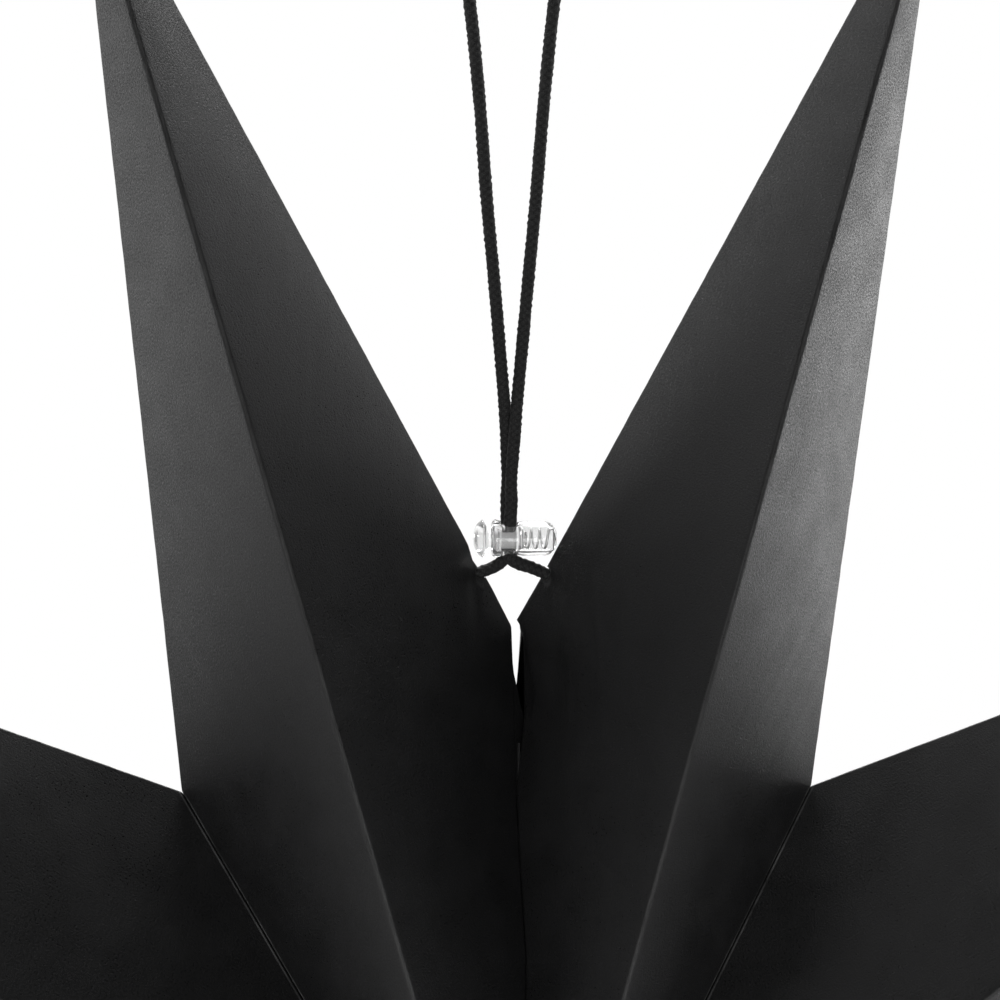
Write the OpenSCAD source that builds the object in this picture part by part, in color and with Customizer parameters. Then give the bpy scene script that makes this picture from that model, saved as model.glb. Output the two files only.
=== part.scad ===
// Hanging paper star: nine folded card arms glued side by side round an open middle.
// The first and the last arm are drawn together at the top by a cord with a spring cord lock.
// The star faces -Y. The origin is at the inside top of the cord's hanging loop.

/* [Star] */
// Distance from the middle of the star to the tip of each arm
tip_radius = 300; // [240:5:360]
// Distance from the middle to the valley corners between glued arms
valley_radius = 113; // [100:1:125]
// Half of the star's depth, at its middle
half_depth = 70; // [55:1:85]
// Thickness of the card
card = 0.5; // [0.3:0.05:0.7]
// Width of the glue flaps along the valleys
flap_width = 8; // [5:0.5:11]
// Length of valley crease without a flap, at the middle of the star
flap_start = 16; // [10:1:24]
// Width of the lap that closes each arm's sheet, inside one back ridge
lap_width = 9; // [5:0.5:12]
// Length of ridge without a lap, at each end
lap_end = 18; // [10:1:30]

/* [Closing seam] */
// Angle between upright and the middle of each end arm
end_arm_angle = 16.6; // [16:0.1:17.4]
// How far the free corners stand to the right of the middle
corner_shift = 2.2; // [0:0.1:3]
// Height of the free corners above the middle
corner_height = 126.2; // [122:0.1:130]
// Gap between the free edges where they butt
seam_gap = 0.3; // [0.1:0.05:0.6]
// Length of the slit where the right free edge bows away, below the free corner
slit_length = 22; // [12:1:30]
// Widest part of that slit
slit_width = 2.4; // [1:0.1:3.5]
// Diameter of the cord holes through the side creases
hole_d = 3.4; // [3.4:0.1:5]
// Distance from a free corner to its cord hole, along the crease
hole_setback = 13.2; // [12.5:0.1:14]

/* [Cord] */
// Diameter of the braided cord
cord_d = 2.5; // [2:0.1:2.7]
// Thickness of each strand where the lock squeezes it
pinch_t = 1.76; // [1.4:0.02:1.8]
// Width of each strand where the lock squeezes it
pinch_w = 2.84; // [2.5:0.02:2.9]
// Diameter of the stopper knots behind the holes
knot_d = 6.2; // [5.6:0.1:6.6]
// Height of the inside top of the hanging loop above the middle of the star
hang_height = 270; // [269:0.5:271]

/* [Cord lock] */
// Height of the lock's axis above the middle of the star
lock_z = 145.1; // [145:0.1:146]
// Left face of the collar
collar_x = -2.7; // [-2.9:0.1:-2.6]
// Length of the collar
collar_len = 1.7; // [1.2:0.1:1.8]
// Diameter of the collar
collar_d = 8.1; // [7.8:0.1:8.4]
// Diameter of the barrel
barrel_d = 7.4; // [7.1:0.1:7.6]
// Diameter of the waist between the collar and the barrel
waist_d = 6.8; // [6.5:0.1:7]
// Length of the lock's body
body_len = 13.7; // [13:0.1:13.8]
// Radius of the barrel's rounded end
end_round = 3; // [2.5:0.1:3.2]
// Thickness of the barrel's end wall
end_wall = 0.8; // [0.5:0.1:1.2]
// Diameter of the button's stem
stem_d = 5.1; // [4.9:0.05:5.2]
// Clearance round the stem
stem_clear = 0.15; // [0.1:0.05:0.2]
// Place of the cord hole along the lock's axis
eye_x = 0.8; // [0.7:0.1:0.9]
// Width of the cord hole along the axis
eye_w = 3.7; // [3.5:0.1:3.8]
// Depth of the cord hole, front to back
eye_depth = 4.4; // [4.2:0.1:4.6]
// How far the eye's mouths flare out on each side
eye_flare = 0.7; // [0.5:0.1:0.8]
// How far the button can be pressed in
travel = 0.8; // [0.4:0.1:0.9]
// Diameter of the button's head
head_d = 7.9; // [7.4:0.1:8.2]
// Thickness of the button's head
head_len = 3; // [2:0.1:3.4]
// Length of stem behind the button's slot
stem_tail = 1.1; // [0.8:0.1:1.4]
// Diameter of the spigot that centres the spring
spigot_d = 3.2; // [2.6:0.1:3.4]
// Length of the spigot
spigot_len = 1.2; // [0.6:0.1:1.6]

/* [Spring] */
// Outer diameter of the coil
spring_d = 4.6; // [4.2:0.1:4.9]
// Diameter of the spring wire
wire_d = 0.45; // [0.3:0.05:0.55]
// Number of turns
spring_turns = 5; // [4:0.5:6]

/* [Hidden] */
ARMS = ["arm_1", "arm_2", "arm_3", "arm_4", "arm_5", "arm_6", "arm_7", "arm_8", "arm_9"];
$fn = 48;

card_black = [0.075, 0.075, 0.08];
cord_black = [0.06, 0.06, 0.06];
clear_plastic = [0.88, 0.9, 0.92, 0.45];
spring_steel = [0.62, 0.62, 0.64];

// Arms are counted clockwise from the right end arm, with angles measured from upright.
last = len(ARMS) - 1;
arm_step = (360 - 2 * end_arm_angle) / last;
function arm_angle(i) = end_arm_angle + i * arm_step;
function polar(radius, angle) = [radius * sin(angle), 0, radius * cos(angle)];
function tip(i) = polar(tip_radius, arm_angle(i));
function valley(i) = polar(valley_radius, arm_angle(i) + arm_step / 2);

// The free corners of the two end arms, a seam's gap apart
free_right = [corner_shift + seam_gap / 2, 0, corner_height];
free_left = [corner_shift - seam_gap / 2, 0, corner_height];
function left_corner(i) = i == 0 ? free_right : valley(i - 1);
function right_corner(i) = i == last ? free_left : valley(i);
front = [0, -half_depth, 0];
back = [0, half_depth, 0];

function unit(v) = v / norm(v);
function panel_normal(i, corner) = unit(cross(front - tip(i), corner - tip(i)));

// The move that brings an arm's pyramid one card's thickness inside itself:
// its distance from both front panels' planes is the card's thickness.
function wall_shift(i) =
    let (
        nl = panel_normal(i, left_corner(i)),
        nr = -panel_normal(i, right_corner(i)),
        det = nl[0] * nr[2] - nl[2] * nr[0]
    )
    [card * (nr[2] - nl[2]) / det, 0, card * (nl[0] - nr[0]) / det];

pyramid_faces = [[0, 1, 2], [0, 2, 3], [0, 3, 4], [0, 4, 1], [1, 3, 2], [1, 4, 3]];

// The outer form of one arm: a four-sided pyramid on the two planes that it shares with its neighbours
module arm_form(i) {
    polyhedron(points = [tip(i), front, left_corner(i), back, right_corner(i)], faces = pyramid_faces);
}

// The hollow of one arm, which runs out through its open base
module arm_hollow(i) {
    past_base = 1.2;
    t = tip(i);
    translate(wall_shift(i))
        polyhedron(
            points = [t, for (p = [front, left_corner(i), back, right_corner(i)]) t + past_base * (p - t)],
            faces = pyramid_faces
        );
}

// Places flat work, drawn as x along the first direction and y along the second
module on_plane(origin, along, across, inward) {
    multmatrix([
        [along[0], across[0], inward[0], origin[0]],
        [along[1], across[1], inward[1], origin[1]],
        [along[2], across[2], inward[2], origin[2]],
        [0, 0, 0, 1]
    ]) children();
}

// One glue flap, folded inwards along the valley crease from the middle of the star to a corner
module glue_flap(corner, inward, facing, start) {
    reach = norm(corner);
    crease = norm([reach, half_depth]);
    e = [reach, half_depth] / crease;
    m = [-half_depth, reach] / crease;
    parting = card;
    outer_end = crease * (1 - parting / half_depth);
    inner_end = outer_end - flap_width * reach / half_depth;
    function on_flap(s, d) = [0, -half_depth] + e * s + m * d;
    on_plane([0, 0, 0], corner / reach, [0, facing, 0], inward)
        linear_extrude(card)
            polygon([
                on_flap(flap_start, 0),
                on_flap(outer_end - start, 0),
                on_flap(inner_end - start, flap_width),
                on_flap(flap_start + flap_width, flap_width)
            ]);
}

// The two flaps, front and back, on one side of an arm
module flap_pair(corner, turn, start = 0) {
    a = atan2(corner[0], corner[2]);
    inward = turn * [cos(a), 0, -sin(a)];
    for (facing = [1, -1]) glue_flap(corner, inward, facing, start);
}

// The lap inside the back ridge, which closes the sheet into a pyramid
module ridge_lap(i) {
    along = unit(back - tip(i));
    inward = unit(cross(left_corner(i) - tip(i), back - tip(i)));
    across = cross(inward, along);
    ridge = norm(back - tip(i));
    taper = 4 * lap_width;
    on_plane(tip(i), along, across, inward)
        translate([0, 0, card / 2])
            linear_extrude(1.5 * card)
                polygon([
                    [lap_end + taper, 0],
                    [ridge - lap_end, 0],
                    [ridge - lap_end - lap_width, lap_width],
                    [lap_end + 2 * taper, lap_width]
                ]);
}

// One arm's sheet: four panels, its flaps and its lap
module arm_sheet(i) {
    slit_clear = slit_length + 2;
    union() {
        difference() {
            arm_form(i);
            arm_hollow(i);
        }
        intersection() {
            arm_form(i);
            union() {
                flap_pair(left_corner(i), 1, i == 0 ? slit_clear : 0);
                flap_pair(right_corner(i), -1, i == last ? slit_clear : 0);
                ridge_lap(i);
            }
        }
    }
}

// The middle of a cord hole, on the side crease from a free corner to its arm's tip
function hole_place(corner, i) = corner + hole_setback * unit(tip(i) - corner);

// A hole punched square through the side crease
module cord_hole(corner, i) {
    along = tip(i) - corner;
    translate(hole_place(corner, i))
        rotate([0, atan2(along[0], along[2]) + 90, 0])
            cylinder(d = hole_d, h = 3 * hole_d, center = true);
}

// The round cut that makes the right free edge bow away from the left one
module slit_cut() {
    chord_share = 0.65;
    half_chord = slit_length * chord_share;
    bow = (half_chord * half_chord + slit_width * slit_width) / (2 * slit_width);
    translate([free_right[0] + slit_width - bow, 0, corner_height - slit_length + half_chord])
        rotate([90, 0, 0])
            cylinder(r = bow, h = half_depth, center = true, $fn = 128);
}

module star_arm(i) {
    color(card_black)
        difference() {
            arm_sheet(i);
            if (i == 0) {
                cord_hole(free_right, i);
                slit_cut();
            }
            if (i == last) cord_hole(free_left, i);
        }
}

// Half of the distance between the two strands, front to back, inside the lock
strand_y = 0.95;

// The cord's route, from the knot in the left end arm up to the loop and down to the right knot.
// Heights are above the middle of the star.
route = [
    [-8.3, 0.1, 135.7], [-6.5, 0.2, 136.8], [-4.6, 0.3, 137.8], [-2.9, 0.5, 138.7], [-1.2, 0.7, 139.8],
    [0.35, 0.9, 141.2], [eye_x, strand_y, 143.4], [eye_x, strand_y, 146.4], [eye_x - 0.1, strand_y, 149.4],
    [0.5, 1.2, 153], [0.5, 1.3, 158], [0.1, 1.1, 166], [-0.5, 0.6, 174], [-1.4, 0.2, 183], [-3, 0, 199],
    [-4.8, 0, 216], [-6.3, 0, 233], [-7.8, 0, 247], [-9.1, 0, 258], [-8.5, 0, 264.7], [-5.3, 0, 269.6],
    [-0.4, 0, 271.25], [4.5, 0, 269.6], [7.8, 0, 264.7], [8.4, 0, 258], [7.5, 0, 247], [6.4, 0, 233],
    [5.3, 0, 216], [4, 0, 199], [2.8, -0.2, 183], [2.1, -0.6, 174], [1.6, -1.1, 166], [1.1, -1.3, 158],
    [1.1, -1.2, 153], [eye_x + 0.1, -strand_y, 149.4], [eye_x, -strand_y, 144.4], [1.2, -0.9, 141.3],
    [3, -0.7, 139.9], [5.3, -0.5, 139.1], [8.3, -0.3, 137.8], [11.9, -0.1, 135.9]
];
route_last = len(route) - 1;
route_parts = 2;

// A smooth curve through the route's points, at a place u counted in points
function route_point(i) = route[max(0, min(route_last, i))];
function on_route(u) =
    let (
        i = min(floor(u), route_last - 1),
        f = u - i,
        a = route_point(i - 1),
        b = route_point(i),
        c = route_point(i + 1),
        d = route_point(i + 2)
    )
    b + 0.5 * f * (c - a + f * (2 * a - 5 * b + 4 * c - d + f * (3 * (b - c) + d - a)));

// How much the lock squeezes the strands at a height: 1 inside it, fading to 0 outside
function pinch(z) =
    let (outside = abs(z - lock_z) - barrel_d / 2, fade = 3)
    max(0, min(1, 1 - outside / fade));

function cord_ring(u, sides) =
    let (
        h = 0.01,
        p = on_route(u),
        t = unit(on_route(min(u + h, route_last)) - on_route(max(u - h, 0))),
        deep = unit([0, 1, 0] - t[1] * t),
        wide = cross(deep, t),
        k = pinch(p[2]),
        rw = cord_d / 2 + k * (pinch_w - cord_d) / 2,
        rd = cord_d / 2 + k * (pinch_t - cord_d) / 2
    )
    [for (j = [0:sides - 1]) p + rw * cos(360 * j / sides) * wide + rd * sin(360 * j / sides) * deep];

// A closed tube through a list of rings that all have the same number of points
module tube(rings) {
    n = len(rings[0]);
    m = len(rings) - 1;
    polyhedron(
        points = [for (ring = rings) each ring],
        faces = [
            [for (j = [0:n - 1]) j],
            [for (j = [n - 1:-1:0]) m * n + j],
            for (i = [0:m - 1], j = [0:n - 1])
                let (a = i * n + j, b = i * n + (j + 1) % n)
                each [[a, a + n, b], [b, a + n, b + n]]
        ]
    );
}

module cord() {
    sides = 8;
    color(cord_black)
        tube([for (i = [0:route_parts * route_last]) cord_ring(i / route_parts, sides)]);
}

// A stopper knot, drawn as a ball with a waist where its turns cross
module stopper_knot(hole, corner, i) {
    along = tip(i) - corner;
    side = i == 0 ? 1 : -1;
    inward = side * unit([along[2], 0, -along[0]]);
    setback = knot_d / 2 + 4 * card;
    color(cord_black)
        translate(hole + setback * inward)
            rotate([0, atan2(along[0], along[2]), 0])
                rotate_extrude($fn = 32)
                    intersection() {
                        translate([0, -knot_d]) square([knot_d, 2 * knot_d]);
                        union() {
                            translate([(knot_d - cord_d) / 2, 0]) circle(d = cord_d, $fn = 24);
                            square([knot_d - cord_d, 2 * cord_d], center = true);
                        }
                    }
}

module knot_right() {
    stopper_knot(hole_place(free_right, 0), free_right, 0);
}

module knot_left() {
    stopper_knot(hole_place(free_left, last), free_left, last);
}

// Lays work that is turned about Z along the lock's axis, with Z pointing to the right
module on_lock_axis(x) {
    translate([x, 0, lock_z]) rotate([0, 90, 0]) children();
}

function arc(centre, radius, from, to, steps) =
    [
        for (k = [0:steps])
            let (a = from + (to - from) * k / steps)
            centre + radius * [cos(a), sin(a)]
    ];

// An upright slot with round ends, seen from above, as wide as w along X and deep along Y
module upright_slot(w, deep, h) {
    off = (deep - w) / 2;
    for (s = [-1, 1]) translate([0, s * off, 0]) cylinder(d = w, h = h, center = true);
    cube([w, 2 * off, h], center = true);
}

// The flared mouth of such a slot, from its lower face upwards
module slot_mouth(w, deep, flare) {
    off = (deep - w) / 2;
    over = 2 * flare;
    for (s = [-1, 1]) translate([0, s * off, 0]) cylinder(d1 = w, d2 = w + 2 * over, h = over);
    rotate([90, 0, 0])
        linear_extrude(2 * off, center = true)
            polygon([[-w / 2, 0], [w / 2, 0], [w / 2 + over, over], [-w / 2 - over, over]]);
}

bore_d = stem_d + 2 * stem_clear;
bore_depth = body_len - end_wall;

// The clear body: a collar, a barrel with a round end, a blind bore and the eye for the cord
module lock_body() {
    rim = collar_len / 2;
    waist = 5.1;
    shoulder = 2.6;
    swell = barrel_d / 2 - waist_d / 2;
    color(clear_plastic)
        difference() {
            on_lock_axis(collar_x)
                rotate_extrude()
                    polygon(concat(
                        [[0, 0]],
                        arc([collar_d / 2 - rim, rim], rim, -90, 10, 8),
                        [for (k = [0:4]) [waist_d / 2 + swell * sin(22.5 * k), waist + shoulder * k / 4]],
                        arc([barrel_d / 2 - end_round, body_len - end_round], end_round, 0, 90, 10),
                        [[0, body_len]]
                    ));
            on_lock_axis(collar_x - 1) cylinder(d = bore_d, h = bore_depth + 1);
            translate([eye_x, 0, lock_z]) {
                upright_slot(eye_w, eye_depth, 2 * collar_d);
                for (turn = [0, 180])
                    rotate([turn, 0, 0])
                        translate([0, 0, barrel_d / 2 - eye_flare])
                            slot_mouth(eye_w, eye_depth, eye_flare);
            }
        }
}

// The button: a domed head on a stem whose slot lets the two strands through
slot_clear = 0.2;
slot_left = eye_x - pinch_w / 2 - travel - 2 * slot_clear;
slot_right = eye_x + pinch_w / 2 + slot_clear;
slot_depth = 2 * strand_y + pinch_t + 2 * slot_clear;
stem_end = slot_right + stem_tail;
pressed_gap = 0.1;
head_back = collar_x - travel - pressed_gap;

module lock_button() {
    dome_share = 0.8;
    dome = head_len * dome_share;
    bevel = 0.3;
    sunk = 0.5;
    slot_len = slot_right - slot_left;
    corner = 1;
    color(clear_plastic)
        difference() {
            union() {
                on_lock_axis(head_back - head_len)
                    rotate_extrude()
                        polygon(concat(
                            [[0, 0]],
                            [for (k = [1:10]) [head_d / 2 * sin(9 * k), dome * (1 - cos(9 * k))]],
                            [[head_d / 2, head_len - bevel], [head_d / 2 - bevel, head_len], [0, head_len]]
                        ));
                on_lock_axis(head_back - sunk) cylinder(d = stem_d, h = stem_end - head_back + sunk);
                on_lock_axis(stem_end - sunk) cylinder(d = spigot_d, h = spigot_len + sunk);
            }
            translate([(slot_left + slot_right) / 2, 0, lock_z]) {
                cube([slot_len, slot_depth - 2 * corner, 2 * stem_d], center = true);
                cube([slot_len - 2 * corner, slot_depth, 2 * stem_d], center = true);
                for (sx = [-1, 1], sy = [-1, 1])
                    translate([sx * (slot_len / 2 - corner), sy * (slot_depth / 2 - corner), 0])
                        cylinder(r = corner, h = 2 * stem_d, center = true, $fn = 24);
            }
        }
}

// The coil spring between the stem's end and the bottom of the bore
module lock_spring() {
    seat = 0.05;
    low = stem_end + wire_d / 2 + seat;
    high = collar_x + bore_depth - wire_d / 2 - seat;
    coil_r = (spring_d - wire_d) / 2;
    steps = 14;
    sides = 6;
    rings = ceil(spring_turns * steps);
    closed = 0.75;
    h = 0.01;
    function rise(q) = max(0, min(1, (q * spring_turns - closed) / (spring_turns - 2 * closed)));
    function coil_x(q) = low + (high - low) * rise(q);
    color(spring_steel)
        tube([for (i = [0:rings])
            let (
                q = i / rings,
                a = -360 * spring_turns * q,
                lift = (coil_x(min(1, q + h)) - coil_x(max(0, q - h))) / (2 * h),
                around = -2 * PI * spring_turns * coil_r,
                t = unit([lift, -around * sin(a), around * cos(a)]),
                outward = [0, cos(a), sin(a)],
                side = cross(t, outward)
            )
            [for (j = [0:sides - 1])
                [coil_x(q), coil_r * cos(a), lock_z + coil_r * sin(a)]
                + wire_d / 2 * (cos(360 * j / sides) * outward + sin(360 * j / sides) * side)]
        ]);
}

module hung() {
    translate([0, 0, -hang_height]) children();
}

hung() {
    for (i = [0:last]) star_arm(i);
    cord();
    knot_right();
    knot_left();
    lock_body();
    lock_button();
    lock_spring();
}
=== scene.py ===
"""Looks of a hanging paper star: nine folded card arms, a braided cord and a clear spring cord lock."""

import math

import bmesh
import bpy
import numpy as np
from mathutils import Matrix, Vector, noise


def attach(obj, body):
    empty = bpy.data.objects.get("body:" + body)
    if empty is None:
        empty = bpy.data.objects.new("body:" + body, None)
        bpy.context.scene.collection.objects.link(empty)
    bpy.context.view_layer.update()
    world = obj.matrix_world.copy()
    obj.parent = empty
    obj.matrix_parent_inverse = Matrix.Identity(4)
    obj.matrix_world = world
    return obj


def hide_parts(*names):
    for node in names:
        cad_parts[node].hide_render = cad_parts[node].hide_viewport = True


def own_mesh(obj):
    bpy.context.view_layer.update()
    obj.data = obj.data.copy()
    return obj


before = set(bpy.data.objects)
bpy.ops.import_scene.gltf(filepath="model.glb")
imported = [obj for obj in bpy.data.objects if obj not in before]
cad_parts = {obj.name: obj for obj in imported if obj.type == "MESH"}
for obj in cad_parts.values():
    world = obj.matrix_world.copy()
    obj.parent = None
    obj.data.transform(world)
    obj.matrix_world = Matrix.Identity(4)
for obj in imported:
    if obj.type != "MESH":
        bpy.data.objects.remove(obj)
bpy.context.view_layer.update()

# Lengths are in millimetres, measured from the middle of the star, and turned into metres by to_row().
MM = 0.001
HANG_HEIGHT = 270
TIP_RADIUS = 300
VALLEY_RADIUS = 113
HALF_DEPTH = 70
CARD = 0.5
FLAP_WIDTH = 8
FLAP_START = 16
END_ARM_ANGLE = 16.6
FREE_CORNER = (2.2, 0, 126.2)
SEAM_GAP = 0.3
SLIT_LENGTH = 22
HOLE_D = 2.9
HOLE_SETBACK = 13.2
ARM_COUNT = 9
LAST = ARM_COUNT - 1

CORD_D = 2.5
PINCH_T = 1.76
PINCH_W = 2.84
KNOT_D = 6.2
KNOT_GAP = 2
BRAID_STRANDS = 5
BRAID_CELL = 1.45

LOCK_Z = 145.1
COLLAR_X = -2.7
COLLAR_LEN = 1.7
COLLAR_D = 8.1
BARREL_D = 7.4
WAIST_D = 6.8
BODY_LEN = 13.7
END_ROUND = 3
END_WALL = 0.8
STEM_D = 5.1
STEM_CLEAR = 0.15
EYE_X = 0.8
EYE_W = 3.7
EYE_DEPTH = 4.4
EYE_FLARE = 0.7
TRAVEL = 0.8
HEAD_D = 7.9
HEAD_LEN = 3
STEM_TAIL = 1.1
SPIGOT_D = 3.2
SPIGOT_LEN = 1.2
SPRING_D = 4.6
WIRE_D = 0.45
SPRING_TURNS = 5
STRAND_Y = 0.95

MIDDLE = np.array([0.0, 0.0, -HANG_HEIGHT])


def to_row(points):
    """Points in millimetres round the star's middle, as points in metres in the row frame."""
    return (np.asarray(points, float) + MIDDLE) * MM


def unit(v):
    """The vector of length 1 along v."""
    v = np.asarray(v, float)
    return v / np.linalg.norm(v)


def make_mesh(name, points, faces, smooth_angle=None):
    """A new object from points in millimetres round the star's middle."""
    mesh = bpy.data.meshes.new(name)
    mesh.from_pydata(to_row(points).tolist(), [], faces)
    mesh.validate()
    work = bmesh.new()
    work.from_mesh(mesh)
    bmesh.ops.recalc_face_normals(work, faces=work.faces)
    work.to_mesh(mesh)
    work.free()
    piece = bpy.data.objects.new(name, mesh)
    bpy.context.scene.collection.objects.link(piece)
    shade(piece, smooth_angle)
    return piece


def shade(piece, smooth_angle):
    """Smooth shading, with the edges sharper than smooth_angle degrees kept sharp."""
    if smooth_angle is not None:
        piece.data.shade_smooth()
        piece.data.set_sharp_from_angle(angle=math.radians(smooth_angle))


def cut_away(piece, cutters):
    """Cuts other closed meshes out of a piece and deletes them."""
    for cutter in cutters:
        cut = piece.modifiers.new("cut", "BOOLEAN")
        cut.operation = "DIFFERENCE"
        cut.solver = "MANIFOLD"
        cut.object = cutter
        bpy.context.view_layer.update()
        graph = bpy.context.evaluated_depsgraph_get()
        mesh = bpy.data.meshes.new_from_object(piece.evaluated_get(graph))
        piece.modifiers.clear()
        piece.data = mesh
        bpy.data.objects.remove(cutter)


# The camera stands in front of the star, a little left of its middle and above it, and looks slightly down.
CAMERA_PLACE = (-30.5, -380.5, 220.6)
CAMERA_YAW = 4.42
CAMERA_PITCH = 10
CAMERA_ROLL = 0.9
CAMERA_LENS = 66.6


def make_camera():
    """The camera at the photograph's place and angle."""
    data = bpy.data.cameras.new("camera")
    data.lens = CAMERA_LENS
    data.sensor_width = 36
    data.clip_start = 0.01
    camera = bpy.data.objects.new("camera", data)
    bpy.context.scene.collection.objects.link(camera)
    turn = (
        Matrix.Rotation(math.radians(-CAMERA_YAW), 3, "Z")
        @ Matrix.Rotation(math.radians(90 - CAMERA_PITCH), 3, "X")
        @ Matrix.Rotation(math.radians(CAMERA_ROLL), 3, "Z")
    )
    camera.matrix_world = Matrix.Translation(to_row(CAMERA_PLACE)) @ turn.to_4x4()
    bpy.context.scene.camera = camera


# The cord's route from the knot in the left end arm, over the loop, to the knot in the right one.
ROUTE = [
    (-8.3, 0.1, 136.3), (-6.5, 0.2, 137.1), (-4.6, 0.3, 137.9), (-2.9, 0.5, 138.5), (-1.2, 0.7, 139.4),
    (0.3, 0.9, 141), (EYE_X, STRAND_Y, 143.4), (EYE_X, STRAND_Y, 146.4), (EYE_X - 0.25, STRAND_Y, 149.4),
    (0.35, 1.2, 153), (0.5, 1.3, 158), (0.1, 1.1, 166), (-0.5, 0.6, 174), (-1.4, 0.2, 183), (-3, 0, 199),
    (-4.8, 0, 216), (-6.3, 0, 233), (-7.8, 0, 247), (-9.1, 0, 258), (-8.5, 0, 264.7), (-5.3, 0, 269.6),
    (-0.4, 0, 271.25), (4.5, 0, 269.6), (7.8, 0, 264.7), (8.4, 0, 258), (7.5, 0, 247), (6.4, 0, 233),
    (5.3, 0, 216), (4, 0, 199), (2.8, -0.2, 183), (2.1, -0.6, 174), (1.6, -1.1, 166), (1.1, -1.3, 158),
    (1.25, -1.2, 153), (EYE_X + 0.25, -STRAND_Y, 149.4), (EYE_X, -STRAND_Y, 144.4), (1.2, -0.9, 141.3),
    (3, -0.7, 139.9), (5.3, -0.5, 139.1), (8.3, -0.3, 137.8), (11.9, -0.1, 135.9),
]


def on_route(u):
    """The smooth curve through the route's points, at places u counted in points."""
    route = np.array(ROUTE)
    end = len(route) - 1
    i = np.minimum(np.floor(u).astype(int), end - 1)
    f = (u - i)[:, None]
    a, b, c, d = (route[np.clip(i + k, 0, end)] for k in (-1, 0, 1, 2))
    return b + 0.5 * f * (c - a + f * (2 * a - 5 * b + 4 * c - d + f * (3 * (b - c) + d - a)))


def spaced_route(step):
    """Points along the route, step millimetres apart."""
    fine = on_route(np.linspace(0, len(ROUTE) - 1, 6000))
    along = np.concatenate([[0], np.cumsum(np.linalg.norm(np.diff(fine, axis=0), axis=1))])
    at = np.arange(0, along[-1], step)
    return np.stack([np.interp(at, along, fine[:, k]) for k in range(3)], axis=1), at


def ring_quads(rows, sides):
    """The four-sided faces that join each closed ring of points to the next one."""
    faces = []
    for row in range(rows - 1):
        for k in range(sides):
            a, b = row * sides + k, row * sides + (k + 1) % sides
            faces.append((a, b, b + sides, a + sides))
    return faces


def slab_faces(first, count):
    """The faces of a flat slab, whose count lower points start at first and whose upper ones follow."""
    ring = [first + k for k in range(count)]
    faces = [tuple(ring), tuple(k + count for k in reversed(ring))]
    for k in range(count):
        a, b = ring[k], ring[(k + 1) % count]
        faces.append((b, a, a + count, b + count))
    return faces


def tangents(line):
    """The direction of a line at each of its points."""
    along = np.gradient(line, axis=0)
    return along / np.linalg.norm(along, axis=1)[:, None]


def tube_frame(line):
    """The two directions across a line, one towards the back and one sideways."""
    tangent = tangents(line)
    deep = np.array([0.0, 1.0, 0.0]) - tangent[:, 1:2] * tangent
    deep /= np.linalg.norm(deep, axis=1)[:, None]
    return deep, np.cross(deep, tangent)


def braid_height(turn, along):
    """Height of a plain braid's surface, from 0 between the strands to 1 on top of them.

    turn runs from 0 to 1 round the cord, and along is in millimetres."""
    left = BRAID_STRANDS * turn + along / BRAID_CELL
    right = BRAID_STRANDS * turn - along / BRAID_CELL
    over = (np.floor(left) + np.floor(right)) % 2 < 1
    across = np.where(over, left, right) % 1
    onward = np.where(over, right, left) % 1
    ridge = np.sqrt(np.clip(1 - (2 * across - 1) ** 2, 0, 1))
    return ridge * (0.5 + 0.5 * np.sin(np.pi * onward))


def braided_cord():
    """The whole cord as one braided tube, squeezed where the lock holds it."""
    step, sides, fade = 0.2, 36, 3
    line, along = spaced_route(step)
    deep, wide = tube_frame(line)
    outside = np.abs(line[:, 2] - LOCK_Z) - BARREL_D / 2
    squeeze = np.clip(1 - outside / fade, 0, 1)
    half_wide = CORD_D / 2 + squeeze * (PINCH_W - CORD_D) / 2
    half_deep = CORD_D / 2 + squeeze * (PINCH_T - CORD_D) / 2
    turn = np.arange(sides) / sides
    angle = 2 * np.pi * turn
    height = braid_height(turn[None, :], along[:, None])
    uneven = np.array([noise.noise(Vector((0, 0, a / 7))) for a in along])[:, None] * 0.08
    lumps = np.array([
        [noise.noise(Vector((2 * math.cos(b), 2 * math.sin(b), a / 0.7))) for b in angle]
        for a in along
    ])
    braid_rise = (0.21 - 0.08 * squeeze)[:, None]
    lump_rise = (0.13 - 0.06 * squeeze)[:, None]
    rise = braid_rise * (height - 0.6) + uneven + lump_rise * lumps
    points = (
        line[:, None, :]
        + wide[:, None, :] * (np.cos(angle) * (half_wide[:, None] + rise))[:, :, None]
        + deep[:, None, :] * (np.sin(angle) * (half_deep[:, None] + rise))[:, :, None]
    )
    rows = len(line)
    faces = [list(range(sides)), [(rows - 1) * sides + k for k in range(sides - 1, -1, -1)]]
    for row in range(rows - 1):
        for k in range(sides):
            a, b = row * sides + k, row * sides + (k + 1) % sides
            faces.append((a, a + sides, b + sides, b))
    piece = make_mesh("cord_braid", points.reshape(-1, 3), faces, 180)
    add_tube_map(piece, sides, along)
    add_strand_mark(piece, height)
    return piece, line, float(along[-1])


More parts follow.
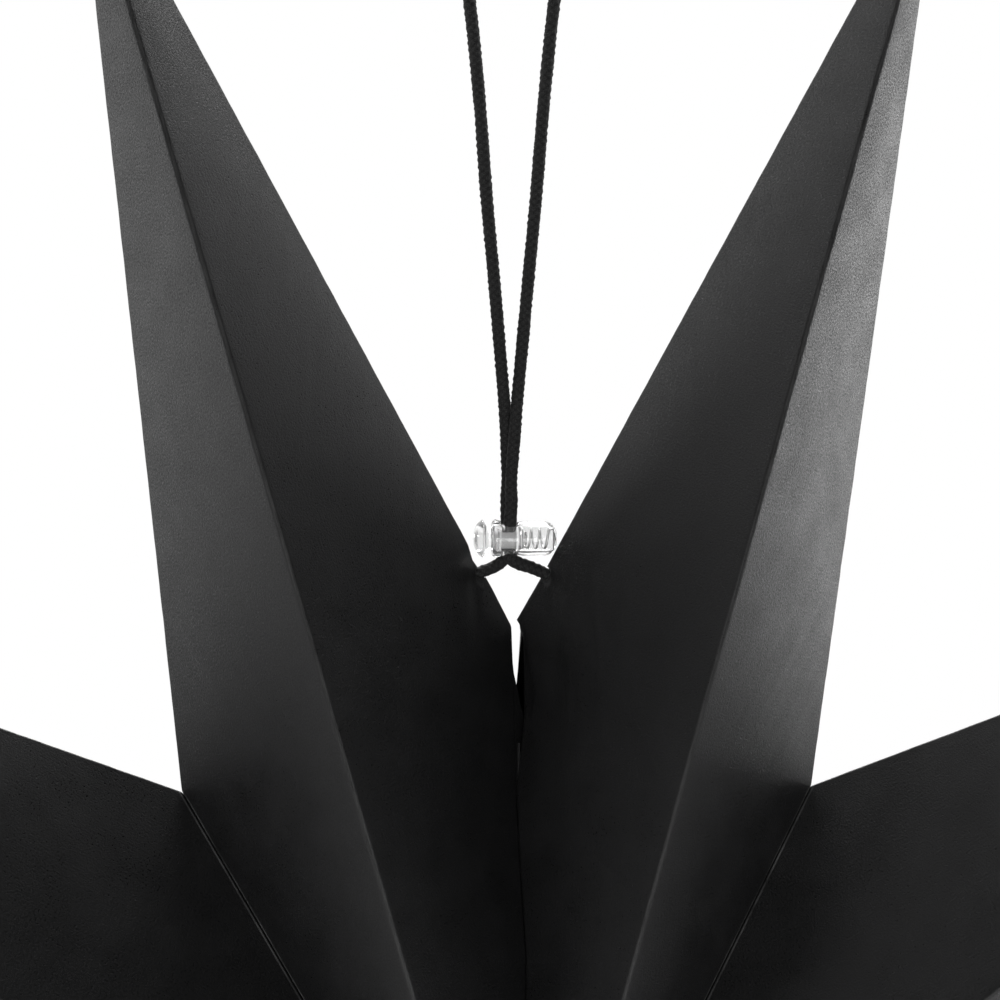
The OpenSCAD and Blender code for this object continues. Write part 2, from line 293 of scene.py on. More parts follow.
def add_tube_map(piece, sides, along):
    """A map in metres: round the tube across, along it upwards."""
    mesh = piece.data
    layer = mesh.uv_layers.new(name="sheet")
    corner_vertex = np.zeros(len(mesh.loops), int)
    mesh.loops.foreach_get("vertex_index", corner_vertex)
    around = (corner_vertex % sides) / sides
    starts = np.zeros(len(mesh.polygons), int)
    totals = np.zeros(len(mesh.polygons), int)
    mesh.polygons.foreach_get("loop_start", starts)
    mesh.polygons.foreach_get("loop_total", totals)
    first = np.repeat(around[starts], totals)
    wraps = (np.abs(around - first) > 0.5) & (around < 0.5)
    around = around + wraps
    uv = np.stack([around * np.pi * CORD_D * MM, along[corner_vertex // sides] * MM], axis=1)
    layer.data.foreach_set("uv", uv.astype(np.float32).ravel())


def add_strand_mark(piece, height):
    """Each point's place on its strand of the braid, from 0 in the groove beside it to 1 on its top; the
    yarn's colour uses it for painted shade in the grooves and painted light on the tops.
    """
    mark = piece.data.attributes.new("strand", "FLOAT", "POINT")
    mark.data.foreach_set("value", np.asarray(height, np.float32).ravel())


def stopper_knot(name, centre, inward, crease):
    """An overhand knot, drawn tight, with a short tail that points into the arm."""
    t = np.linspace(0.12 * np.pi, 1.96 * np.pi, 260)
    size = (KNOT_D - 0.78 * CORD_D) / 6
    flat = np.stack([
        np.sin(t) + 2 * np.sin(2 * t),
        np.cos(t) - 2 * np.cos(2 * t),
        -1.35 * np.sin(3 * t),
    ], axis=1)
    inward, crease = unit(inward), unit(crease)
    side = np.cross(inward, crease)
    axes = np.stack([crease, side, inward])
    line = centre + size * flat @ axes
    sides = 28
    tangent = tangents(line)
    normal = np.cross(tangent[0], inward)
    rings, heights, along = [], [], 0.0
    for k, point in enumerate(line):
        normal = unit(normal - (normal @ tangent[k]) * tangent[k])
        other = np.cross(tangent[k], normal)
        if k:
            along += np.linalg.norm(point - line[k - 1])
        turn = np.arange(sides) / sides
        heights.append(braid_height(turn, np.full(sides, along)))
        radius = 0.41 * CORD_D + 0.2 * (heights[-1] - 0.8)
        angle = 2 * np.pi * turn
        rings.append(
            point + (radius * np.cos(angle))[:, None] * normal + (radius * np.sin(angle))[:, None] * other
        )
    rows = len(rings)
    faces = [list(range(sides)), [(rows - 1) * sides + k for k in range(sides - 1, -1, -1)]]
    faces += ring_quads(rows, sides)
    piece = make_mesh(name, np.concatenate(rings), faces, 180)
    lengths = np.concatenate([[0], np.cumsum(np.linalg.norm(np.diff(line, axis=0), axis=1))])
    add_tube_map(piece, sides, lengths)
    add_strand_mark(piece, heights)
    return piece


def polar(radius, angle):
    """A point in the star's plane, angle degrees to the right of upright."""
    return np.array([radius * math.sin(math.radians(angle)), 0, radius * math.cos(math.radians(angle))])


ARM_STEP = (360 - 2 * END_ARM_ANGLE) / LAST
FRONT = np.array([0.0, -HALF_DEPTH, 0.0])
BACK = np.array([0.0, HALF_DEPTH, 0.0])


def arm_angle(i):
    """The way that an arm points, in degrees to the right of upright."""
    return END_ARM_ANGLE + i * ARM_STEP


def arm_corners(i):
    """The tip and the four rim corners of an arm: front, right, back and left."""
    free_right = np.array(FREE_CORNER) + (SEAM_GAP / 2, 0, 0)
    free_left = np.array(FREE_CORNER) - (SEAM_GAP / 2, 0, 0)
    left = free_right if i == 0 else polar(VALLEY_RADIUS, arm_angle(i) - ARM_STEP / 2)
    right = free_left if i == LAST else polar(VALLEY_RADIUS, arm_angle(i) + ARM_STEP / 2)
    return polar(TIP_RADIUS, arm_angle(i)), [FRONT, right, BACK, left]


# How round the folds are: the length of card, in millimetres, that each one bends on either side. INNER_BEND
# is the share of it that shows on the inside, and BULGE is a panel's swell as a share of its width.
RIDGE_BEND = 0.95
SIDE_BEND = 0.3
RIM_BEND = 0.42
INNER_BEND = 0.3
BULGE = 0.014
ROWS = 110
FILL = 7


def noise_at(points, scale, seed):
    """Smooth noise at points, with features about scale millimetres wide."""
    return np.array([noise.noise(Vector(p) / scale + Vector((seed, 0, 0))) for p in points])


def line_distance(point, a, b):
    """A point's distance from the line through a and b."""
    along = unit(b - a)
    off = point - a
    return np.linalg.norm(off - (off @ along) * along)


def folded_arm(i):
    """One arm's sheet: four bulging panels with rounded folds, its card's thickness and its glue flaps."""
    tip, rim = arm_corners(i)
    centre_line = unit(tip)
    normals, mate_normals = [], []
    for p in range(4):
        a, c = rim[p], rim[(p + 1) % 4]
        n = unit(np.cross(a - tip, c - tip))
        normals.append(n if n[1] * (1 if p in (1, 2) else -1) > 0 else -n)
        side = rim[1] if p in (0, 1) else rim[3]
        m = unit(np.cross(BACK - FRONT, side))
        mate_normals.append(m if m @ centre_line < 0 else -m)
    det = normals[0][0] * normals[3][2] - normals[0][2] * normals[3][0]
    inset = np.array([
        -CARD * (normals[3][2] - normals[0][2]) / det, 0, -CARD * (normals[0][0] - normals[3][0]) / det
    ])
    bends = [RIDGE_BEND, SIDE_BEND, RIDGE_BEND, SIDE_BEND]
    bisectors = [unit(normals[p] + normals[p - 1]) for p in range(4)]
    half_cos = [math.sqrt(max(0.0, (1 + normals[p] @ normals[p - 1]) / 2)) for p in range(4)]
    half_sin = [math.sqrt(max(0.0, 1 - h * h)) for h in half_cos]
    rim_bisectors = [unit(normals[p] + mate_normals[p]) for p in range(4)]
    height = [line_distance(tip, rim[p], rim[(p + 1) % 4]) for p in range(4)]
    reach_a = [line_distance(rim[(p + 1) % 4], tip, rim[p]) for p in range(4)]
    reach_c = [line_distance(rim[p], tip, rim[(p + 1) % 4]) for p in range(4)]
    mean_height = sum(height) / 4

    shares = np.linspace(0.004, 1, ROWS)
    bend_rows = 1 - RIM_BEND / mean_height * np.array([1, 0.75, 0.5, 0.25, 0])
    shares = np.concatenate([shares[shares < bend_rows[0] - 0.002], bend_rows])
    steps = np.array([0, 0.25, 0.5, 0.75, 1, 1.8, 3.2])

    def columns(s):
        """The columns at share s from tip to rim: each one's panel, place q across it, and folds' shares."""
        out = []
        for p in range(4):
            da, dc = steps * bends[p], steps * bends[(p + 1) % 4]
            fa = min(1, 0.38 * s * reach_a[p] / da[-1])
            fc = min(1, 0.38 * s * reach_c[p] / dc[-1])
            qa = da * fa / (s * reach_a[p])
            qc = 1 - dc * fc / (s * reach_c[p])
            middle = qa[-1] + (qc[-1] - qa[-1]) * np.arange(1, FILL + 1) / (FILL + 1)
            out += [(p, q, fa, fc) for q in np.concatenate([qa, middle, qc[:0:-1]])]
        return out

    def skin_point(s, p, q, fa, fc, base, shrink):
        """A point of the skin, where base is the pyramid's own tip and shrink scales the folds' roundness."""
        a, c = rim[p], rim[(p + 1) % 4]
        point = base + s * ((1 - q) * a + q * c - tip)
        n = normals[p]
        width = s * (reach_a[p] + reach_c[p]) / 2
        fade = 1 - min(1.0, s) ** 8
        swell = BULGE * width * 4 * q * (1 - q) * fade
        for corner, d, f in ((p, q * s * reach_a[p], fa), ((p + 1) % 4, (1 - q) * s * reach_c[p], fc)):
            bend = bends[corner] * f * shrink
            if bend > 1e-6 and d < bend:
                point = point - bisectors[corner] * bend * half_sin[corner] / 2 * (1 - d / bend) ** 2
        return point + n * swell

    loose = {0: (2, 3), LAST: (0, 1)}.get(i, ())
    points, folds, rims = [], [], []
    for s in shares:
        from_rim = (1 - s) * mean_height
        for p, q, fa, fc in columns(s):
            point = skin_point(s, p, q, fa, fc, tip, 1)
            if from_rim < RIM_BEND:
                lean = rim_bisectors[p] if q > 0 else unit(rim_bisectors[p] + rim_bisectors[p - 1])
                cos_half = math.sqrt(max(0.0, 1 - ((1 + normals[p] @ mate_normals[p]) / 2)))
                point = point - lean * RIM_BEND * cos_half / 2 * (1 - from_rim / RIM_BEND) ** 2
            points.append(point)
            folds.append(min(q * s * reach_a[p], (1 - q) * s * reach_c[p]))
            # Points on the loose panels at the slit are marked far from the rim, so that they get no painted
            # highlight there.
            rims.append(5.0 if p in loose else from_rim)
    grid = columns(1.0)
    count = len(grid)

    inner_shares = [1 + (inset @ m) / (tip @ m) for m in mate_normals]
    edge_rows = (0.35, 0.7, 1.0)
    last_row = np.array(points[-count:])
    inner_rim = []
    for p, q, fa, fc in grid:
        share = inner_shares[p] if q > 0 else (inner_shares[p] + inner_shares[p - 1]) / 2
        inner_rim.append(skin_point(share, p, q, fa, fc, tip + inset, INNER_BEND))
    inner_rim = np.array(inner_rim)
    for tau in edge_rows:
        for k in range(count):
            points.append(last_row[k] + tau * (inner_rim[k] - last_row[k]))
            folds.append(5.0)
            rims.append(0.0)
    inner_list = shares[::-1][6::2]
    for s in inner_list:
        for p, q, fa, fc in columns(s):
            points.append(skin_point(s, p, q, fa, fc, tip + inset, INNER_BEND))
            folds.append(5.0)
            rims.append(5.0)
    total_rows = len(shares) + len(edge_rows) + len(inner_list)
    points = np.array(points)

    faces = ring_quads(total_rows, count)
    face_panel = [column[0] for column in grid] * (total_rows - 1)
    tip_at = len(points)
    points = np.concatenate([points, [tip, tip + inset]])
    folds += [0.0, 5.0]
    rims += [5.0, 5.0]
    for k in range(count):
        faces.append((tip_at, (k + 1) % count, k))
        face_panel.append(grid[k][0])
        base = (total_rows - 1) * count
        faces.append((tip_at + 1, base + k, base + (k + 1) % count))
        face_panel.append(grid[k][0])

    sheet_points, sheet_faces = add_flaps(i, rim, mate_normals, points, faces)
    extra_points = len(sheet_points) - len(points)
    face_panel += [0] * (len(sheet_faces) - len(faces))
    folds += [5.0] * extra_points
    rims += [5.0] * extra_points
    shaped = shape_sheet(i, sheet_points, tip, rim)
    piece = make_mesh(f"card_arm_{i + 1}", shaped, sheet_faces, 35)
    add_sheet_marks(piece, i, sheet_points, face_panel, folds, rims, tip, rim)
    return piece


def add_flaps(i, rim, mate_normals, points, faces):
    """The sheet's glue flaps, two on each side, folded inwards against the neighbouring arms' flaps."""
    points, faces = list(points), list(faces)
    for side, m in ((rim[1], mate_normals[0]), (rim[3], mate_normals[2])):
        free = (i == 0 and side is rim[3]) or (i == LAST and side is rim[1])
        start = SLIT_LENGTH + 2 if free else 0
        reach = np.linalg.norm(side)
        crease = math.hypot(reach, HALF_DEPTH)
        for facing in (1, -1):
            along = side / reach
            across = np.array([0.0, facing, 0.0])
            e = (reach * along + HALF_DEPTH * across) / crease
            inner = (-HALF_DEPTH * along + reach * across) / crease
            outer_end = crease * (1 - CARD / HALF_DEPTH)
            inner_end = outer_end - FLAP_WIDTH * reach / HALF_DEPTH
            base = -HALF_DEPTH * across
            outline = [
                base + e * FLAP_START,
                base + e * (outer_end - start),
                base + e * (inner_end - start) + inner * FLAP_WIDTH,
                base + e * (FLAP_START + FLAP_WIDTH) + inner * FLAP_WIDTH,
            ]
            lift, set_in = 0.02, 0.35
            first = len(points)
            for depth in (lift, lift + CARD):
                for k, q in enumerate(outline):
                    points.append(q - m * depth + inner * (set_in if k < 2 else 0))
            faces += slab_faces(first, len(outline))
    if i == LAST:
        add_closing_tab(points, faces)
    return np.array(points), faces


def add_closing_tab(points, faces):
    """The left end arm's slanting tab, which reaches under the right end arm at the slit's lower end."""
    tip, rim = arm_corners(LAST)
    corner = rim[1]
    along = unit(FRONT - corner)
    out = unit(np.cross(FRONT - tip, corner - tip))
    out = out if out[1] < 0 else -out
    across = unit(np.cross(out, along))
    across = across if across[0] > 0 else -across
    # Each point's millimetres along the seam from its upper corner, and across it to the right
    outline = (
        (5.9, -0.3), (7.7, 0.1), (10.2, 0.3), (11.6, 0.64), (13.7, 1.33), (17, 2), (18.2, 2.6), (19.8, 3.1),
        (22, 3.7), (24, 3.7), (26, 1.2), (30, 0.7), (37, 0.5), (37, -1), (7, -1.2),
    )
    lift = 0.1
    first = len(points)
    for depth in (lift, lift + CARD):
        for c, w in outline:
            points.append(corner + along * c + across * w - out * depth)
    faces += slab_faces(first, len(outline))


# How far the two free edges at the top stand off the straight seam, in millimetres, at distances along it.
RIGHT_EDGE_AT = (-1.1, -0.4, 0, 0.8, 2.2, 4.1, 8.3, 13.5, 17, 20, 22.5, 25, 28, 34, 42, 50, 58, 65, 72,
                 90, 110)
RIGHT_FRONT_OFF = (-0.35, 0.8, 1.1, 1.6, 2.1, 2.4, 2.7, 2.7, 2.4, 1.9, 1.2, 0.5, 0.15, 0.1, 0.2, 0.65, 1.3,
                   1.6, 1.9, 1.2, 0)
RIGHT_BACK_OFF = (-0.35, 0.7, 0.95, 1.15, 1.45, 1.75, 2.05, 2.0, 1.85, 1.6, 1.2, 0.5, 0.3, 0.1, 0.2, 0.65,
                  1.3, 1.6, 1.9, 1.2, 0)
LEFT_EDGE_AT = (0, 7, 12, 18, 25, 34, 42, 50, 58, 65, 72, 90, 110)
LEFT_EDGE_OFF = (-0.2, -0.15, 0.05, 0.2, 0.3, 0.35, 0.4, 0.85, 1.45, 1.78, 2.08, 1.38, 0.2)
EDGE_REACH = 11

# The cord pulls the left end arm's hole up along its crease, and dents the card above it, in millimetres.
HOLE_PULL = 0.3
DENT_DEPTH = 0.8
DENT_WIDTH = 2.2
DENT_UP = 3.2

# The card's waves and its edges' waves, each as (width, seed's step from arm to arm, height).
WAVES = ((55, 3.7, 0.5), (9, 1.3, 0.06))
EDGE_WAVES = ((5, 8.1, 0.07), (1.7, 2.9, 0.03))


def hole_place(i):
    """The middle of an end arm's cord hole, its crease's direction, and the way into the arm."""
    tip, rim = arm_corners(i)
    corner = rim[3] if i == 0 else rim[1]
    crease = unit(tip - corner)
    inward = np.array([crease[2], 0, -crease[0]]) * (1 if i == 0 else -1)
    return corner + HOLE_SETBACK * crease, crease, inward


def waves_at(points, waves, i):
    """The height of an arm's waves at points."""
    return sum(noise_at(points, width, seed * i) * height for width, seed, height in waves)


def shape_sheet(i, points, tip, rim):
    """Waves that the card has, the bowed free edges and the dents that the cord pulls round its holes."""
    points = points.copy()
    middle_share = np.linalg.norm(points, axis=1)
    away = np.clip((middle_share - VALLEY_RADIUS * 0.55) / 60, 0, 1)
    wave = waves_at(points, WAVES, i)
    push = np.where(points[:, 1] < 0, -1.0, 1.0)
    points[:, 1] += push * wave * away * np.clip(np.abs(points[:, 1]) / 6, 0, 1)
    side = unit(np.array([unit(tip)[2], 0, -unit(tip)[0]]))
    edge_wave = waves_at(points, EDGE_WAVES, i)
    points += (edge_wave * away)[:, None] * side
    if i in (0, LAST):
        corner = rim[3] if i == 0 else rim[1]
        at = RIGHT_EDGE_AT if i == 0 else LEFT_EDGE_AT
        offs = (RIGHT_FRONT_OFF, RIGHT_BACK_OFF) if i == 0 else (LEFT_EDGE_OFF, LEFT_EDGE_OFF)
        for end, off in zip((FRONT, BACK), offs):
            along_seam = unit(end - corner)
            c = (points - corner) @ along_seam
            rest = points - corner - c[:, None] * along_seam
            distance = np.linalg.norm(rest, axis=1)
            same_side = np.clip((points @ unit(end)) / 2 + 0.5, 0, 1)
            amount = np.interp(c, at, off) * np.exp(-((distance / EDGE_REACH) ** 2)) * same_side
            amount *= np.clip((c + 8) / 8, 0, 1)
            points[:, 0] += amount
    if i == LAST:
        hole, crease, inward = hole_place(i)
        near = np.linalg.norm((points - hole - DENT_UP * crease) * (1, 0.7, 0.9), axis=1)
        points += (DENT_DEPTH * np.exp(-((near / DENT_WIDTH) ** 2)))[:, None] * inward
    return points


# How far apart the panels and the arms lie on the flat map, in millimetres
PANEL_SPACING = 200
ARM_SPACING = 400


def add_sheet_marks(piece, i, points, face_panel, folds, rims, tip, rim):
    """The flat sheet's map in metres, and each point's millimetres from a fold and from the rim."""
    mesh = piece.data
    fold = mesh.attributes.new("fold", "FLOAT", "POINT")
    fold.data.foreach_set("value", np.clip(np.array(folds, np.float32), 0, 5))
    rim_mark = mesh.attributes.new("rim", "FLOAT", "POINT")
    rim_mark.data.foreach_set("value", np.clip(np.array(rims, np.float32), 0, 5))
    layer = mesh.uv_layers.new(name="sheet")
    axes = []
    for p in range(4):
        a, c = rim[p], rim[(p + 1) % 4]
        up = unit(tip - (a + c) / 2)
        n = unit(np.cross(a - tip, c - tip))
        axes.append((np.cross(up, n), up))
    corner_vertex = np.zeros(len(mesh.loops), int)
    mesh.loops.foreach_get("vertex_index", corner_vertex)
    totals = np.zeros(len(mesh.polygons), int)
    mesh.polygons.foreach_get("loop_total", totals)
    panel = np.repeat(np.array(face_panel), totals)
    at = points[corner_vertex] - tip
    across = np.array([a for a, _ in axes])[panel]
    up = np.array([u for _, u in axes])[panel]
    map_x = (at * across).sum(1) + PANEL_SPACING * panel
    map_y = (at * up).sum(1) + ARM_SPACING * i
    uv = np.stack([map_x, map_y], axis=1) * MM
    layer.data.foreach_set("uv", uv.astype(np.float32).ravel())


def hole_cutter(i):
    """A slightly ragged rod that punches an end arm's cord hole."""
    hole, crease, inward = hole_place(i)
    hole = hole + HOLE_PULL * crease if i == LAST else hole
    side = np.array([0.0, 1.0, 0.0])
    sides, half = 40, 1.5 * HOLE_D
    points = []
    for end in (-half, half):
        for k in range(sides):
            a = 2 * math.pi * k / sides
            r = HOLE_D / 2 + 0.06 * math.sin(5 * a + i) + 0.04 * math.sin(11 * a)
            points.append(hole + end * inward + r * math.cos(a) * crease + r * math.sin(a) * side)
    faces = [list(range(sides - 1, -1, -1)), [sides + k for k in range(sides)]]
    faces += ring_quads(2, sides)
    return make_mesh("hole_cutter", points, faces)


def lathe(name, outline, x, segments=96):
    """Turns an outline of (radius, length) points about the lock's axis, from the place x to the right."""
    points, faces, rings = [], [], []
    for radius, length in outline:
        if radius < 1e-6:
            rings.append([len(points)])
            points.append((x + length, 0, LOCK_Z))
            continue
        ring = []
        for k in range(segments):
            a = 2 * math.pi * k / segments
            ring.append(len(points))
            points.append((x + length, radius * math.cos(a), LOCK_Z + radius * math.sin(a)))
        rings.append(ring)
    for low, high in zip(rings, rings[1:]):
        for k in range(segments):
            n = (k + 1) % segments
            if len(low) == 1:
                faces.append((low[0], high[n], high[k]))
            elif len(high) == 1:
                faces.append((low[k], low[n], high[0]))
            else:
                faces.append((low[k], low[n], high[n], high[k]))
    return make_mesh(name, points, faces)


def arc(centre, radius, start, end, steps):
    """Points along an arc, from the angle start to the angle end in degrees."""
    out = []
    for k in range(steps + 1):
        a = math.radians(start + (end - start) * k / steps)
        out.append((centre[0] + radius * math.cos(a), centre[1] + radius * math.sin(a)))
    return out


def upright_prism(name, outline, levels):
    """A closed upright shape through the lock. levels gives (height from the axis, outline's widening)."""
    points = []
    count = len(outline)
    for z, grow in levels:
        for x, y, nx, ny in outline:
            points.append((x + grow * nx, y + grow * ny, LOCK_Z + z))
    faces = ring_quads(len(levels), count)
    faces.append(list(range(count - 1, -1, -1)))
    faces.append([(len(levels) - 1) * count + k for k in range(count)])
    return make_mesh(name, points, faces)


def round_slot(middle_x, width, depth, steps=24):
    """A slot's outline with round ends, as (x, y, outward x, outward y)."""
    radius = min(width, depth) / 2
    out = []
    for end, start in ((1, 0), (-1, 180)):
        for k in range(steps + 1):
            a = math.radians(start + 180 * k / steps)
            nx, ny = math.cos(a), math.sin(a)
            out.append((middle_x + radius * nx, end * (depth / 2 - radius) + radius * ny, nx, ny))
    return out


def round_box(left, right, depth, radius, steps=8):
    """A rectangle's outline with round corners, in the same form as round_slot."""
    out = []
    corners = ((right - radius, depth / 2 - radius, 0), (left + radius, depth / 2 - radius, 90),
               (left + radius, radius - depth / 2, 180), (right - radius, radius - depth / 2, 270))
    for x, y, start in corners:
        for k in range(steps + 1):
            a = math.radians(start + 90 * k / steps)
            out.append((x + radius * math.cos(a), y + radius * math.sin(a), math.cos(a), math.sin(a)))
    return out


def lock_body():
    """The clear body: collar, barrel with a round end, blind bore, and the eye with its flared mouths."""
    rim, waist, shoulder = COLLAR_LEN / 2, 5.1, 2.6
    swell = (BARREL_D - WAIST_D) / 2
    outline = [(0, 0)]
    outline += arc((COLLAR_D / 2 - rim, rim), rim, -90, 10, 16)
    outline += [(WAIST_D / 2 + swell * math.sin(math.radians(11.25 * k)), waist + shoulder * k / 8)
                for k in range(9)]
    outline += arc((BARREL_D / 2 - END_ROUND, BODY_LEN - END_ROUND), END_ROUND, 0, 90, 18)
    outline += [(0, BODY_LEN)]
    piece = lathe("lock_shell", outline, COLLAR_X)
    bore_r = STEM_D / 2 + STEM_CLEAR
    depth = BODY_LEN - END_WALL
    chamfer = 0.3
    bore_outline = [(0, -1), (bore_r, -1), (bore_r, depth - chamfer), (bore_r - chamfer, depth), (0, depth)]
    bore = lathe("bore", bore_outline, COLLAR_X)
    top = BARREL_D / 2
    levels = [
        (-top - 1.2, 2 * EYE_FLARE + 1.6), (-top - EYE_FLARE, 2 * EYE_FLARE + 0.5),
        (-top, EYE_FLARE + 0.1), (-top + 0.35, 0.3 * EYE_FLARE), (-top + EYE_FLARE + 0.3, 0),
    ]
    levels += [(-z, grow) for z, grow in reversed(levels)]
    eye = upright_prism("eye", round_slot(EYE_X, EYE_W, EYE_DEPTH), levels)
    cut_away(piece, [bore, eye])
    shade(piece, 32)
    return piece


SLOT_CLEAR = 0.2
SLOT_LEFT = EYE_X - PINCH_W / 2 - TRAVEL - 2 * SLOT_CLEAR
SLOT_RIGHT = EYE_X + PINCH_W / 2 + SLOT_CLEAR
SLOT_DEPTH = 2 * STRAND_Y + PINCH_T + 2 * SLOT_CLEAR
STEM_END = SLOT_RIGHT + STEM_TAIL
PRESSED_GAP = 0.1
HEAD_BACK = COLLAR_X - TRAVEL - PRESSED_GAP


def lock_button(clear, frosted, scuffed):
    """The button: a frosted domed head on a clear stem with a slot for the strands, scuffed by them."""
    dome, edge = HEAD_LEN * 0.62, 0.25
    outline = [(0, 0)]
    for k in range(1, 16):
        a = math.radians(5 * k)
        outline.append(((HEAD_D / 2 - edge) * math.sin(a), dome * (1 - math.cos(a))))
    outline += arc((HEAD_D / 2 - edge, dome), edge, -20, 60, 6)
    outline += [(HEAD_D / 2 - 0.8, HEAD_LEN - 0.55), (HEAD_D / 2 - 1.1, HEAD_LEN - 0.3)]
    stem = STEM_END - HEAD_BACK + HEAD_LEN
    outline += [(STEM_D / 2 + 0.08, HEAD_LEN), (STEM_D / 2, HEAD_LEN + 0.08), (STEM_D / 2, stem - 0.2),
                (STEM_D / 2 - 0.2, stem), (SPIGOT_D / 2, stem), (SPIGOT_D / 2, stem + SPIGOT_LEN - 0.25),
                (SPIGOT_D / 2 - 0.25, stem + SPIGOT_LEN), (0, stem + SPIGOT_LEN)]
    piece = lathe("lock_push_button", outline, HEAD_BACK - HEAD_LEN)
    slot = upright_prism("slot", round_box(SLOT_LEFT, SLOT_RIGHT, SLOT_DEPTH, 1), [(-STEM_D, 0), (STEM_D, 0)])
    for part in (piece, slot):
        for material in (clear, frosted, scuffed):
            part.data.materials.append(material)
    for face in piece.data.polygons:
        face.material_index = int(face.center.x < (HEAD_BACK - 0.9) * MM)
    for face in slot.data.polygons:
        face.material_index = 2 if face.center.x > (SLOT_LEFT + 0.9) * MM else 0
    cut_away(piece, [slot])
    shade(piece, 32)
    return piece


def lock_spring():
    """The coil spring, wound from round wire with its last turns closed."""
    seat, closed, steps, sides = 0.05, 0.75, 64, 14
    low = STEM_END + WIRE_D / 2 + seat
    high = COLLAR_X + BODY_LEN - END_WALL - WIRE_D / 2 - seat
    turns = np.linspace(0, SPRING_TURNS, SPRING_TURNS * steps + 1)
    x = low + (high - low) * np.clip((turns - closed) / (SPRING_TURNS - 2 * closed), 0, 1)
    a = -2 * np.pi * turns
    radius = (SPRING_D - WIRE_D) / 2
    line = np.stack([x, radius * np.cos(a), LOCK_Z + radius * np.sin(a)], axis=1)
    tangent = tangents(line)
    outward = np.stack([np.zeros(len(a)), np.cos(a), np.sin(a)], axis=1)
    across = np.cross(tangent, outward)
    points = []
    for k in range(len(line)):
        for j in range(sides):
            b = 2 * math.pi * j / sides
            points.append(line[k] + WIRE_D / 2 * (math.cos(b) * outward[k] + math.sin(b) * across[k]))
    faces = ring_quads(len(line), sides)
    faces.append(list(range(sides - 1, -1, -1)))
    faces.append([(len(line) - 1) * sides + j for j in range(sides)])
    return make_mesh("lock_coil_spring", points, faces, 60)


def new_material(name):
    """A material with one shader, and its tree and shader."""
    material = bpy.data.materials.new(name)
    material.use_nodes = True
    tree = material.node_tree
    tree.nodes.clear()
    out = tree.nodes.new("ShaderNodeOutputMaterial")
    shader = tree.nodes.new("ShaderNodeBsdfPrincipled")
    tree.links.new(shader.outputs[0], out.inputs["Surface"])
    return material, tree, shader


def node(tree, kind, inputs=None, **settings):
    """A new node with its settings, its inputs given as values or as other nodes' outputs."""
    made = tree.nodes.new(kind)
    for key, value in settings.items():
        setattr(made, key, value)
    for key, value in (inputs or {}).items():
        socket = made.inputs[key]
        if isinstance(value, bpy.types.NodeSocket):
            tree.links.new(value, socket)
        else:
            socket.default_value = value
    return made


def ramp(tree, value, stops):
    """Maps a value through a ramp of (place, grey) stops."""
    made = node(tree, "ShaderNodeValToRGB", {"Fac": value})
    elements = made.color_ramp.elements
    while len(elements) < len(stops):
        elements.new(0.5)
    for element, (place, grey) in zip(elements, stops):
        element.position = place
        element.color = (grey, grey, grey, 1)
    return made.outputs["Color"]


def math_node(tree, operation, a, b=0.0, c=0.0):
    """The result of a sum of up to three values."""
    made = node(tree, "ShaderNodeMath", {0: a, 1: b, 2: c}, operation=operation)
    return made.outputs[0]


def group(name, inputs, outputs):
    """A shader node group with named number and vector inputs and outputs."""
    tree = bpy.data.node_groups.new(name, "ShaderNodeTree")
    for label, kind in inputs:
        tree.interface.new_socket(label, in_out="INPUT", socket_type=kind)
    for label, kind in outputs:
        tree.interface.new_socket(label, in_out="OUTPUT", socket_type=kind)
    start = tree.nodes.new("NodeGroupInput")
    end = tree.nodes.new("NodeGroupOutput")
    return tree, start.outputs, end.inputs


def fibre_group():
    """Paper and yarn fibres: mottled patches, fine grain and streaks along the map's second direction."""
    tree, given, out = group(
        "fibres",
        [("Place", "NodeSocketVector"), ("Grain Size", "NodeSocketFloat"),
         ("Streak Length", "NodeSocketFloat")],
        [("Mottle", "NodeSocketFloat"), ("Grain", "NodeSocketFloat"), ("Streaks", "NodeSocketFloat")],
    )
    mottle = node(tree, "ShaderNodeTexNoise", {"Vector": given["Place"], "Scale": 90.0, "Detail": 5.0,
                                               "Roughness": 0.62})
    size = math_node(tree, "DIVIDE", 1.0, given["Grain Size"])
    grain = node(tree, "ShaderNodeTexNoise", {"Vector": given["Place"], "Scale": size, "Detail": 3.0,
                                              "Roughness": 0.7})
    squash = math_node(tree, "DIVIDE", 1.0, given["Streak Length"])
    stretch = node(tree, "ShaderNodeCombineXYZ", {"X": 1.0, "Y": squash, "Z": 1.0})
    drawn = node(tree, "ShaderNodeVectorMath", {0: given["Place"], 1: stretch.outputs[0]},
                 operation="MULTIPLY")
    streaks = node(tree, "ShaderNodeTexNoise", {"Vector": drawn.outputs[0], "Scale": size, "Detail": 2.0,
                                                "Roughness": 0.55})
    tree.links.new(mottle.outputs["Fac"], out["Mottle"])
    tree.links.new(grain.outputs["Fac"], out["Grain"])
    tree.links.new(streaks.outputs["Fac"], out["Streaks"])
    return tree


def use_group(tree, shared, inputs):
    """A shared group's outputs for the given inputs."""
    made = tree.nodes.new("ShaderNodeGroup")
    made.node_tree = shared
    for key, value in inputs.items():
        if isinstance(value, bpy.types.NodeSocket):
            tree.links.new(value, made.inputs[key])
        else:
            made.inputs[key].default_value = value
    return made.outputs


CARD_BLACK = 0.0105
CARD_ROUGHNESS = 0.46
ROUGHNESS_SPREAD = 0.21
FOLD_GREY = 0.055
# The rim's grey is a painted highlight: the light that the rounded edge of the sheet catches along its bend.
RIM_HIGHLIGHT_GREY = 0.13
PLASTIC_IOR = 1.46


